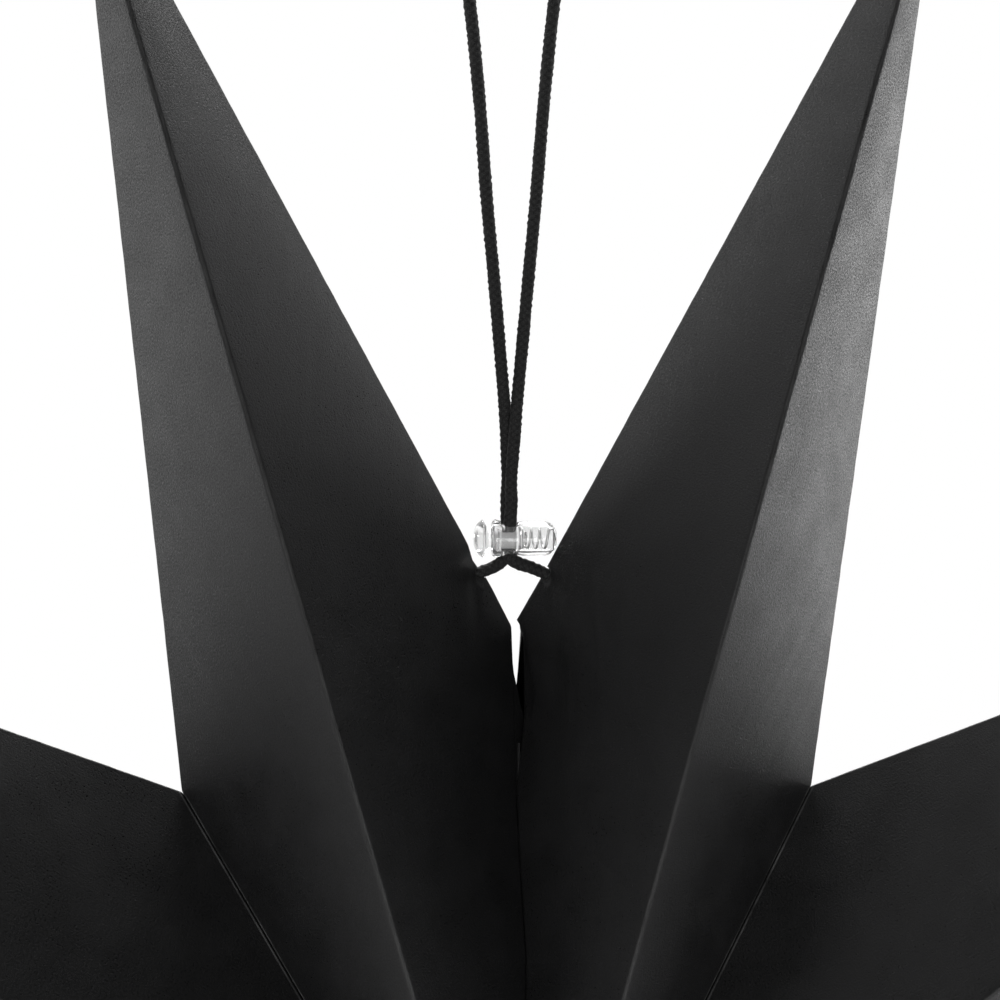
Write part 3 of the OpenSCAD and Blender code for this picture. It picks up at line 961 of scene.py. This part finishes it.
def card_material(fibres):
    """Matte black card: fine grain, faint fibre streaks, rounded folds rubbed a little lighter, and a painted
    highlight along the bend at the sheet's rim.
    """
    material, tree, shader = new_material("black_card")
    place = node(tree, "ShaderNodeUVMap", uv_map="sheet").outputs[0]
    paper = use_group(tree, fibres, {"Place": place, "Grain Size": 0.00042, "Streak Length": 7.0})
    fold = node(tree, "ShaderNodeAttribute", attribute_name="fold").outputs["Fac"]
    rim = node(tree, "ShaderNodeAttribute", attribute_name="rim").outputs["Fac"]
    on_fold = node(tree, "ShaderNodeMapRange", {"Value": fold, "From Min": 0.6, "From Max": 0.15}).outputs[0]
    # The band along the rim's bend, from about 0.22 to 0.75 mm from the rim, which gets a painted highlight.
    rim_start = node(tree, "ShaderNodeMapRange", {"Value": rim, "From Min": 0.22,
                                                  "From Max": 0.36}).outputs[0]
    rim_end = node(tree, "ShaderNodeMapRange", {"Value": rim, "From Min": 0.75, "From Max": 0.55}).outputs[0]
    on_rim_highlight = math_node(tree, "MULTIPLY", rim_start, rim_end)
    patchy = ramp(tree, paper["Mottle"], [(0.38, 0.25), (0.62, 1.0)])
    # Where the folds are rubbed lighter and where the rim's bend gets its painted highlight, broken up by the
    # mottle.
    rubbed = math_node(tree, "MULTIPLY", math_node(tree, "MAXIMUM", on_fold, on_rim_highlight), patchy)
    tone = node(tree, "ShaderNodeMapRange", {"Value": paper["Mottle"], "From Min": 0.3, "From Max": 0.7,
                                             "To Min": 0.85, "To Max": 1.15}).outputs[0]
    # Rubbed folds take the fold grey; the band at the rim takes the much lighter grey of its painted
    # highlight.
    fold_wear_and_rim_highlight = node(tree, "ShaderNodeMix", {"Factor": on_rim_highlight, "A": (FOLD_GREY, FOLD_GREY, FOLD_GREY, 1),
                                        "B": (RIM_HIGHLIGHT_GREY, RIM_HIGHLIGHT_GREY, RIM_HIGHLIGHT_GREY, 1)}, data_type="RGBA")
    base = node(tree, "ShaderNodeMix", {"Factor": rubbed, "A": (CARD_BLACK, CARD_BLACK, CARD_BLACK * 1.04, 1),
                                        "B": fold_wear_and_rim_highlight.outputs["Result"]}, data_type="RGBA")
    shaded = node(tree, "ShaderNodeVectorMath", {0: base.outputs["Result"], "Scale": tone}, operation="SCALE")
    tree.links.new(shaded.outputs[0], shader.inputs["Base Color"])
    uneven = math_node(tree, "MULTIPLY_ADD", paper["Mottle"], 0.25, paper["Grain"])
    rough = node(tree, "ShaderNodeMapRange", {"Value": uneven, "From Min": 0.45, "From Max": 0.8,
                                              "To Min": CARD_ROUGHNESS - ROUGHNESS_SPREAD,
                                              "To Max": CARD_ROUGHNESS + ROUGHNESS_SPREAD})
    tree.links.new(rough.outputs[0], shader.inputs["Roughness"])
    scored = node(tree, "ShaderNodeMapRange", {"Value": fold, "From Max": 0.2, "To Min": -0.6, "To Max": 0.0})
    height = math_node(tree, "MULTIPLY_ADD", paper["Streaks"], 0.35, paper["Grain"])
    height = math_node(tree, "ADD", height, scored.outputs[0])
    bump = node(tree, "ShaderNodeBump", {"Height": height, "Strength": 1.0, "Distance": 0.00009})
    tree.links.new(bump.outputs[0], shader.inputs["Normal"])
    shader.inputs["Specular IOR Level"].default_value = 0.5
    return material


def cord_material(fibres):
    """Black polyester yarn, dull with a faint sheen, with painted shade in the grooves between the strands
    and painted light on their tops.
    """
    material, tree, shader = new_material("black_cord")
    place = node(tree, "ShaderNodeUVMap", uv_map="sheet").outputs[0]
    yarn = use_group(tree, fibres, {"Place": place, "Grain Size": 0.00022, "Streak Length": 3.0})
    strand = node(tree, "ShaderNodeAttribute", attribute_name="strand").outputs["Fac"]
    tone = node(tree, "ShaderNodeMapRange", {"Value": yarn["Grain"], "From Min": 0.35, "From Max": 0.65,
                                             "To Min": 0.004, "To Max": 0.06}).outputs[0]
    # Painted shade in the braid's grooves and painted light on the strands' tops: the yarn's colour runs from
    # 0.3 times in the grooves to 1.25 times on the tops.
    painted_strand_shade = node(tree, "ShaderNodeMapRange", {"Value": strand, "To Min": 0.3, "To Max": 1.25}).outputs[0]
    tone = math_node(tree, "MULTIPLY", tone, painted_strand_shade)
    colour = node(tree, "ShaderNodeCombineColor", {0: tone, 1: tone, 2: tone})
    tree.links.new(colour.outputs[0], shader.inputs["Base Color"])
    shader.inputs["Roughness"].default_value = 0.75
    shader.inputs["Specular IOR Level"].default_value = 0.25
    shader.inputs["Sheen Weight"].default_value = 0.1
    shader.inputs["Sheen Roughness"].default_value = 0.4
    bump = node(tree, "ShaderNodeBump", {"Height": yarn["Streaks"], "Strength": 0.5, "Distance": 0.00008})
    tree.links.new(bump.outputs[0], shader.inputs["Normal"])
    return material


def plastic_material(name, tint, clear, dull):
    """Moulded plastic with a very slightly uneven surface: clear, frosted, or rubbed dull and whitish."""
    material, tree, shader = new_material(name)
    shader.inputs["Base Color"].default_value = (tint, tint, tint, 1)
    shader.inputs["Transmission Weight"].default_value = clear
    shader.inputs["IOR"].default_value = PLASTIC_IOR
    shader.inputs["Roughness"].default_value = dull
    place = node(tree, "ShaderNodeTexCoord").outputs["Object"]
    waves = node(tree, "ShaderNodeTexNoise", {"Vector": place, "Scale": 900.0, "Detail": 2.0})
    bump = node(tree, "ShaderNodeBump", {"Height": waves.outputs["Fac"], "Strength": 0.25,
                                         "Distance": 0.00005})
    tree.links.new(bump.outputs[0], shader.inputs["Normal"])
    return material


def spring_material():
    """Drawn steel wire."""
    material, tree, shader = new_material("spring_wire")
    shader.inputs["Metallic"].default_value = 1.0
    place = node(tree, "ShaderNodeTexCoord").outputs["Object"]
    marks = node(tree, "ShaderNodeTexNoise", {"Vector": place, "Scale": 3000.0, "Detail": 3.0})
    tone = node(tree, "ShaderNodeMapRange", {"Value": marks.outputs["Fac"], "To Min": 0.42, "To Max": 0.66})
    grey = tone.outputs[0]
    colour = node(tree, "ShaderNodeCombineColor", {0: grey, 1: grey, 2: grey})
    tree.links.new(colour.outputs[0], shader.inputs["Base Color"])
    shader.inputs["Roughness"].default_value = 0.3
    return material


def light_path_white(tree):
    """1 for rays that see the background, from the camera or through clear plastic, and 1 for glossy rays."""
    path = node(tree, "ShaderNodeLightPath").outputs
    through = math_node(tree, "GREATER_THAN", path["Transmission Depth"], 0.5)
    seen = math_node(tree, "MAXIMUM", path["Is Camera Ray"], through)
    return seen, path["Is Glossy Ray"]


AMBIENT = 0.06
GLOSSY_BACK = 1.0
GLOSSY_FRONT = 0.05


def make_world():
    """A white studio: white behind and beside the star, darker on the camera's side."""
    world = bpy.data.worlds.new("studio")
    bpy.context.scene.world = world
    world.use_nodes = True
    tree = world.node_tree
    tree.nodes.clear()
    seen, glossy = light_path_white(tree)
    way = node(tree, "ShaderNodeTexCoord").outputs["Generated"]
    parts = node(tree, "ShaderNodeSeparateXYZ", {0: way}).outputs
    behind = node(tree, "ShaderNodeMapRange", {"Value": parts["Y"], "From Min": -0.1, "From Max": 0.6,
                                               "To Min": GLOSSY_FRONT, "To Max": GLOSSY_BACK}).outputs[0]
    unseen = node(tree, "ShaderNodeMix", {"Factor": glossy, "A": AMBIENT, "B": behind}, data_type="FLOAT")
    level = node(tree, "ShaderNodeMix", {"Factor": seen, "A": unseen.outputs[0], "B": 1.0},
                 data_type="FLOAT").outputs[0]
    light = node(tree, "ShaderNodeBackground", {"Color": (1, 1, 1, 1), "Strength": level})
    node(tree, "ShaderNodeOutputWorld", {"Surface": light.outputs[0]})


FLOOR_HALF_SIZE = 3.0
FLOOR_HEIGHT = -0.63


def make_floor():
    """A pale floor under the star, which fades into the white surroundings."""
    size, z = FLOOR_HALF_SIZE, FLOOR_HEIGHT
    mesh = bpy.data.meshes.new("floor")
    corners = [(-size, -size, z), (size, -size, z), (size, size, z), (-size, size, z)]
    mesh.from_pydata(corners, [], [(0, 1, 2, 3)])
    floor = bpy.data.objects.new("floor", mesh)
    bpy.context.scene.collection.objects.link(floor)
    material, tree, shader = new_material("pale_floor")
    shader.inputs["Base Color"].default_value = (0.86, 0.86, 0.86, 1)
    shader.inputs["Roughness"].default_value = 0.9
    place = node(tree, "ShaderNodeTexCoord").outputs["Object"]
    far = node(tree, "ShaderNodeVectorMath", {0: place, 1: (0, 0, z)}, operation="DISTANCE").outputs["Value"]
    fade = node(tree, "ShaderNodeMapRange", {"Value": far, "From Min": 0.5, "From Max": 1.1}).outputs[0]
    seen, glossy = light_path_white(tree)
    fade = math_node(tree, "MULTIPLY", fade, math_node(tree, "MAXIMUM", seen, glossy))
    white = node(tree, "ShaderNodeEmission", {"Color": (1, 1, 1, 1), "Strength": 1.0})
    mix = node(tree, "ShaderNodeMixShader", {0: fade, 1: shader.outputs[0], 2: white.outputs[0]})
    out = next(n for n in tree.nodes if n.type == "OUTPUT_MATERIAL")
    tree.links.new(mix.outputs[0], out.inputs["Surface"])
    mesh.materials.append(material)


# The studio's soft lamps stand round the star, all at one distance. Azimuth is 0 towards the camera and
# 90 to the right, elevation is up from level, and power is in watts.
LAMP_DISTANCE = 1.7
LAMP_SIZE = 0.7
LAMP_AIM = (0, 0, -0.15)
LAMPS = (
    ("front_lamp", 0, 0, 5.6),
    ("left_low_lamp", -75, -25, 1.9),
    ("left_side_lamp", -105, 0, 2.8),
    ("left_high_lamp", -105, 25, 4.5),
    ("left_top_lamp", -75, 50, 3.9),
    ("right_side_lamp", 112, 0, 7.6),
    ("right_high_lamp", 112, 50, 9.2),
    ("right_low_lamp", 140, -25, 13.2),
    ("back_lamp", 180, 40, 22),
)


def make_lights():
    """The square lamps round the star, which the camera doesn't see."""
    middle = Vector(LAMP_AIM)
    for name, azimuth, elevation, power in LAMPS:
        data = bpy.data.lights.new(name, "AREA")
        data.shape = "SQUARE"
        data.size = LAMP_SIZE
        data.energy = power
        lamp = bpy.data.objects.new(name, data)
        bpy.context.scene.collection.objects.link(lamp)
        lamp.visible_camera = False
        a, e = math.radians(azimuth), math.radians(elevation)
        way = Vector((math.sin(a) * math.cos(e), -math.cos(a) * math.cos(e), math.sin(e)))
        lamp.location = middle + LAMP_DISTANCE * way
        lamp.rotation_euler = (-way).to_track_quat("-Z", "Y").to_euler()


def dress(piece, material, slot, body, *nodes):
    """Gives a piece its material and its body, and hides the solids that it stands for. The slot is not used.
    """
    if material:
        piece.data.materials.clear()
        piece.data.materials.append(material)
    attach(piece, body)
    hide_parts(*nodes)


bpy.context.scene.view_settings.view_transform = "Standard"
make_camera()
fibres = fibre_group()
card = card_material(fibres)
yarn = cord_material(fibres)
clear = plastic_material("clear_plastic", 0.98, 0.94, 0.04)
frosted = plastic_material("frosted_plastic", 0.93, 0.8, 0.22)
scuffed = plastic_material("scuffed_plastic", 0.95, 0.3, 0.5)
steel = spring_material()

cord, cord_line, cord_length = braided_cord()
dress(cord, yarn, "cord", "star", "cord")
for name, i in (("knot_right", 0), ("knot_left", LAST)):
    hole, crease, inward = hole_place(i)
    knot = stopper_knot(name + "_overhand", hole + (KNOT_D / 2 + KNOT_GAP) * inward, inward, crease)
    dress(knot, yarn, "cord", "star", name)

for i in range(ARM_COUNT):
    arm = folded_arm(i)
    if i in (0, LAST):
        cut_away(arm, [hole_cutter(i)])
        shade(arm, 35)
    dress(arm, card, "card", "star", f"arm_{i + 1}")

dress(lock_body(), clear, "clear_plastic", "star", "lock_body")
dress(lock_button(clear, frosted, scuffed), None, "clear_plastic", "button", "lock_button")
spring = lock_spring()
dress(spring, steel, "spring_steel", "star", "lock_spring")
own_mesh(spring)

make_world()
make_floor()
make_lights()
